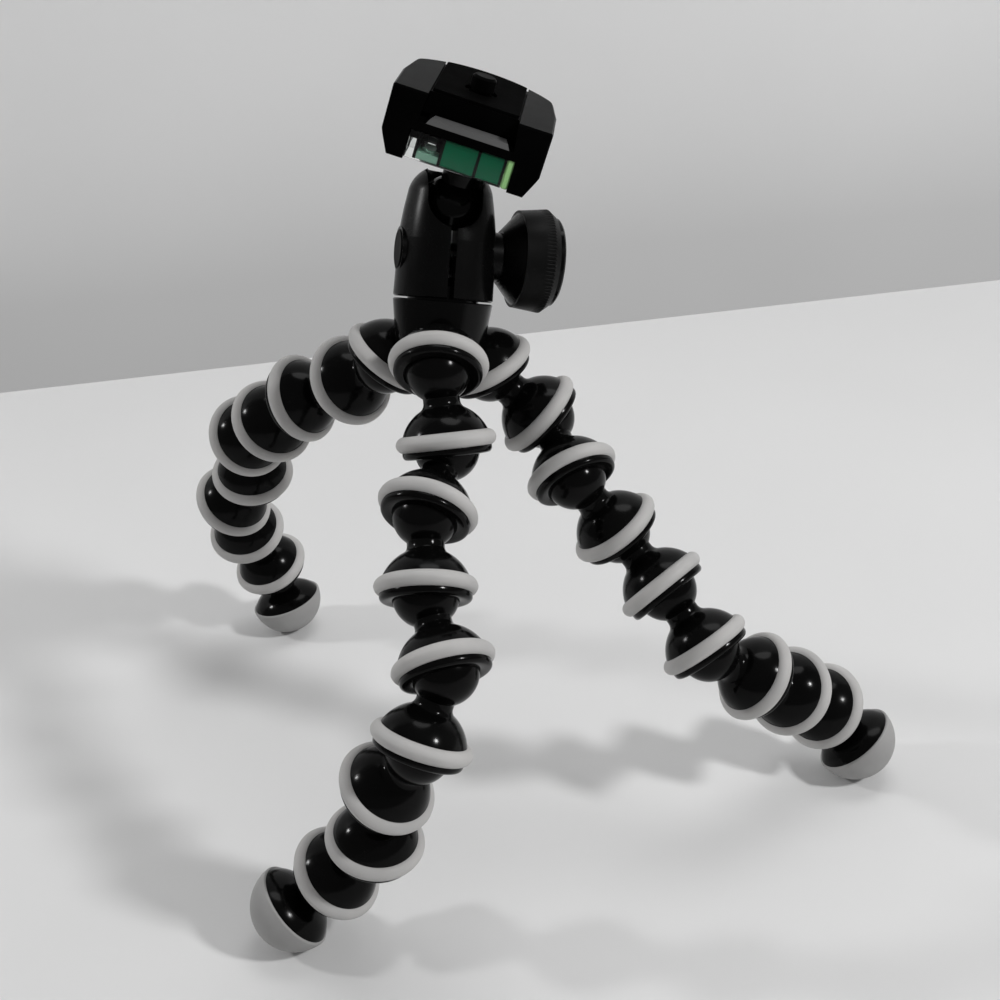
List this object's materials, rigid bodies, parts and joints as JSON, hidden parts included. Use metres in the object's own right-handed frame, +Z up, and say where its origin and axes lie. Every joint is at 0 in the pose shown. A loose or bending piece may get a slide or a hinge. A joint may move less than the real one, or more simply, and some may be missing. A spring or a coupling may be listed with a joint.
{
  "type": "flexible leg tripod",
  "caption": "Small camera tripod with bendable legs of ball jointed links, grey grip rings and feet, a panning ball head and a quick release deck with a spirit level.",
  "frame": {"origin": "on the floor, under the middle of the tripod's outline as it stands", "axes": "+Z up, +Y away from the viewer, +X to the viewer's right with the spirit level facing the viewer"},
  "size_m": [0.2154, 0.1904, 0.2134],
  "materials": {
    "black_link": "gloss",
    "grey_grip": "matt",
    "grey_foot": "matt",
    "black_housing": "satin",
    "black_collar": "gloss",
    "black_rubber": "matt",
    "steel": "satin",
    "nylon": "matt",
    "black_metal": "satin",
    "clear_block": "clear",
    "green_liquid": "clear",
    "bubble_air": "clear",
    "line_black": "matt",
    "green_plug": "gloss"
  },
  "bodies": {
    "hub": {"hub_body": "black_link", "hub_grip_rings": "grey_grip", "hub_screw": "steel", "head_collar": "black_collar", "pan_washer": "steel", "pan_screw": "steel"},
    "housing": {"clamp_housing": "black_housing", "ball_seat": "nylon", "clamp_nut": "steel", "side_cap": "black_collar"},
    "knob": {"knob_core": "black_collar", "knob_grip": "black_rubber", "knob_cap": "black_collar", "clamp_screw": "steel"},
    "deck": {"ball_stem": "black_metal", "deck_screw": "steel", "deck_body": "black_metal", "vial_block": "clear_block", "vial_liquid": "green_liquid", "vial_bubble": "bubble_air", "vial_lines": "line_black", "vial_end_left": "clear_block", "vial_end_right": "green_plug"},
    "plate": {"release_plate": "black_metal", "plate_pad": "black_rubber"},
    "camera_screw": {"camera_screw": "black_metal"},
    "front_link_1": {"front_link_1": "black_link"},
    "front_link_2": {"front_link_2": "black_link"},
    "front_link_3": {"front_link_3": "black_link"},
    "front_link_4": {"front_link_4": "black_link"},
    "front_link_5": {"front_link_5": "black_link"},
    "front_link_6": {"front_link_6": "black_link"},
    "front_link_7": {"front_link_7": "black_link"},
    "front_link_8": {"front_link_8": "black_link"},
    "front_foot": {"front_foot_link": "black_link", "front_foot_cap": "grey_foot"},
    "right_link_1": {"right_link_1": "black_link"},
    "right_link_2": {"right_link_2": "black_link"},
    "right_link_3": {"right_link_3": "black_link"},
    "right_link_4": {"right_link_4": "black_link"},
    "right_link_5": {"right_link_5": "black_link"},
    "right_link_6": {"right_link_6": "black_link"},
    "right_link_7": {"right_link_7": "black_link"},
    "right_link_8": {"right_link_8": "black_link"},
    "right_foot": {"right_foot_link": "black_link", "right_foot_cap": "grey_foot"},
    "back_link_1": {"back_link_1": "black_link"},
    "back_link_2": {"back_link_2": "black_link"},
    "back_link_3": {"back_link_3": "black_link"},
    "back_link_4": {"back_link_4": "black_link"},
    "back_link_5": {"back_link_5": "black_link"},
    "back_link_6": {"back_link_6": "black_link"},
    "back_link_7": {"back_link_7": "black_link"},
    "back_link_8": {"back_link_8": "black_link"},
    "back_foot": {"back_foot_link": "black_link", "back_foot_cap": "grey_foot"}
  },
  "joints": [
    {"name": "front_ball_1", "type": "hinge", "parent": "hub", "child": "front_link_1", "pos_m": [-0.02014, -0.02091, 0.1432], "axis": [0.9712, -0.1912, 0.1423], "range_deg": [-77.7, 10.2]},
    {"name": "front_ball_2", "type": "hinge", "parent": "front_link_1", "child": "front_link_2", "pos_m": [-0.01921, -0.02974, 0.125], "axis": [-0.8433, 0.4655, -0.2688], "range_deg": [-60, 5.2]},
    {"name": "front_ball_3", "type": "hinge", "parent": "front_link_2", "child": "front_link_3", "pos_m": [-0.02527, -0.04638, 0.11518], "axis": [0.7081, -0.5318, 0.4646], "range_deg": [-65.1, 22.8]},
    {"name": "front_ball_4", "type": "hinge", "parent": "front_link_3", "child": "front_link_4", "pos_m": [-0.02625, -0.06042, 0.10061], "axis": [0.4607, 0.6235, -0.6317], "range_deg": [-28.4, 59.5]},
    {"name": "front_ball_5", "type": "hinge", "parent": "front_link_4", "child": "front_link_5", "pos_m": [-0.02239, -0.0759, 0.08815], "axis": [0.5985, 0.5877, -0.5445], "range_deg": [-85.9, 2]},
    {"name": "front_ball_6", "type": "hinge", "parent": "front_link_5", "child": "front_link_6", "pos_m": [-0.03005, -0.08383, 0.07116], "axis": [-0.859, -0.189, 0.4758], "range_deg": [-5.1, 82.8]},
    {"name": "front_ball_7", "type": "hinge", "parent": "front_link_6", "child": "front_link_7", "pos_m": [-0.0404, -0.07856, 0.05458], "axis": [0.4149, 0.9093, 0.0302], "range_deg": [-23.9, 64]},
    {"name": "front_ball_8", "type": "hinge", "parent": "front_link_7", "child": "front_link_8", "pos_m": [-0.04489, -0.07586, 0.03502], "axis": [-0.3383, -0.9396, -0.052], "range_deg": [-15.7, 72.2]},
    {"name": "front_ball_9", "type": "hinge", "parent": "front_link_8", "child": "front_foot", "pos_m": [-0.05761, -0.07046, 0.02021], "axis": [-0.5658, 0.4891, 0.6639], "range_deg": [-70.1, 17.8]},
    {"name": "right_ball_1", "type": "hinge", "parent": "hub", "child": "right_link_1", "pos_m": [-0.00691, 0.00194, 0.13211], "axis": [0.2331, 0.9693, 0.0786], "range_deg": [-21.7, 66.2]},
    {"name": "right_ball_2", "type": "hinge", "parent": "right_link_1", "child": "right_link_2", "pos_m": [0.00723, -0.0003, 0.1178], "axis": [-0.6747, 0.2278, -0.702], "range_deg": [-87.1, 0.8]},
    {"name": "right_ball_3", "type": "hinge", "parent": "right_link_2", "child": "right_link_3", "pos_m": [0.01424, -0.01533, 0.10618], "axis": [0.8081, -0.0746, 0.5843], "range_deg": [-84.4, 3.5]},
    {"name": "right_ball_4", "type": "hinge", "parent": "right_link_3", "child": "right_link_4", "pos_m": [0.02584, -0.01801, 0.0898], "axis": [0.8127, 0.2203, 0.5394], "range_deg": [-21.2, 66.7]},
    {"name": "right_ball_5", "type": "hinge", "parent": "right_link_4", "child": "right_link_5", "pos_m": [0.03737, -0.02804, 0.07651], "axis": [-0.5816, -0.8068, 0.1039], "range_deg": [-38.9, 49]},
    {"name": "right_ball_6", "type": "hinge", "parent": "right_link_5", "child": "right_link_6", "pos_m": [0.04783, -0.03745, 0.06195], "axis": [-0.6596, 0.32, -0.6801], "range_deg": [-4.1, 83.8]},
    {"name": "right_ball_7", "type": "hinge", "parent": "right_link_6", "child": "right_link_7", "pos_m": [0.06294, -0.03396, 0.04893], "axis": [0.5847, 0.2915, 0.7571], "range_deg": [-64.6, 23.3]},
    {"name": "right_ball_8", "type": "hinge", "parent": "right_link_7", "child": "right_link_8", "pos_m": [0.07482, -0.02399, 0.03591], "axis": [-0.6787, -0.1339, -0.7221], "range_deg": [-47.2, 40.7]},
    {"name": "right_ball_9", "type": "hinge", "parent": "right_link_8", "child": "right_foot", "pos_m": [0.08719, -0.01501, 0.02263], "axis": [0.7637, -0.1104, 0.6361], "range_deg": [-6.6, 81.3]},
    {"name": "back_ball_1", "type": "hinge", "parent": "hub", "child": "back_link_1", "pos_m": [-0.03523, 0.00243, 0.13633], "axis": [0.749, 0.2171, -0.626], "range_deg": [-52, 5.5]},
    {"name": "back_ball_2", "type": "hinge", "parent": "back_link_1", "child": "back_link_2", "pos_m": [-0.04751, 0.01471, 0.1259], "axis": [0.1129, -0.5754, -0.81], "range_deg": [-28.6, 59.3]},
    {"name": "back_ball_3", "type": "hinge", "parent": "back_link_2", "child": "back_link_3", "pos_m": [-0.06356, 0.02361, 0.11734], "axis": [0.0931, 0.7724, 0.6283], "range_deg": [-24.5, 63.4]},
    {"name": "back_ball_4", "type": "hinge", "parent": "back_link_3", "child": "back_link_4", "pos_m": [-0.07464, 0.03508, 0.10487], "axis": [-0.7906, -0.1089, 0.6026], "range_deg": [-35.1, 52.8]},
    {"name": "back_ball_5", "type": "hinge", "parent": "back_link_4", "child": "back_link_5", "pos_m": [-0.08474, 0.04898, 0.09414], "axis": [0.6724, 0.6918, 0.2633], "range_deg": [-7.3, 80.6]},
    {"name": "back_ball_6", "type": "hinge", "parent": "back_link_5", "child": "back_link_6", "pos_m": [-0.08622, 0.05741, 0.07579], "axis": [0.26, 0.8853, 0.3855], "range_deg": [-71.9, 16]},
    {"name": "back_ball_7", "type": "hinge", "parent": "back_link_6", "child": "back_link_7", "pos_m": [-0.09668, 0.06682, 0.06122], "axis": [0.0839, 0.8633, 0.4976], "range_deg": [-6.8, 81.1]},
    {"name": "back_ball_8", "type": "hinge", "parent": "back_link_7", "child": "back_link_8", "pos_m": [-0.09457, 0.07672, 0.04368], "axis": [-0.6942, -0.5879, -0.4153], "range_deg": [-56.8, 31.1]},
    {"name": "back_ball_9", "type": "hinge", "parent": "back_link_8", "child": "back_foot", "pos_m": [-0.0893, 0.08347, 0.02533], "axis": [-0.9656, 0.0878, -0.2449], "range_deg": [-66.9, 21]},
    {"name": "head_pan", "type": "hinge", "parent": "hub", "child": "housing", "pos_m": [-0.02053, -0.00492, 0.13872], "axis": [0.1432, 0.3635, 0.9205], "continuous": true},
    {"name": "knob_turn", "type": "hinge", "parent": "housing", "child": "knob", "pos_m": [-0.01639, 0.00559, 0.16532], "axis": [0.9596, 0.1768, -0.2191], "range_deg": [-360, 0]},
    {"name": "head_tilt", "type": "hinge", "parent": "housing", "child": "deck", "pos_m": [-0.01474, 0.00977, 0.17591], "axis": [0.9298, 0.1237, -0.3468], "range_deg": [-26, 65]},
    {"name": "plate_slide", "type": "slide", "parent": "deck", "child": "plate", "axis": [-0.1045, -0.994, 0.0326], "range_m": [0, 0.045]},
    {"name": "camera_screw_turn", "type": "hinge", "parent": "plate", "child": "camera_screw", "pos_m": [-0.01563, 0.00987, 0.17624], "axis": [0.3502, -0.0061, 0.9367], "continuous": true}
  ]
}
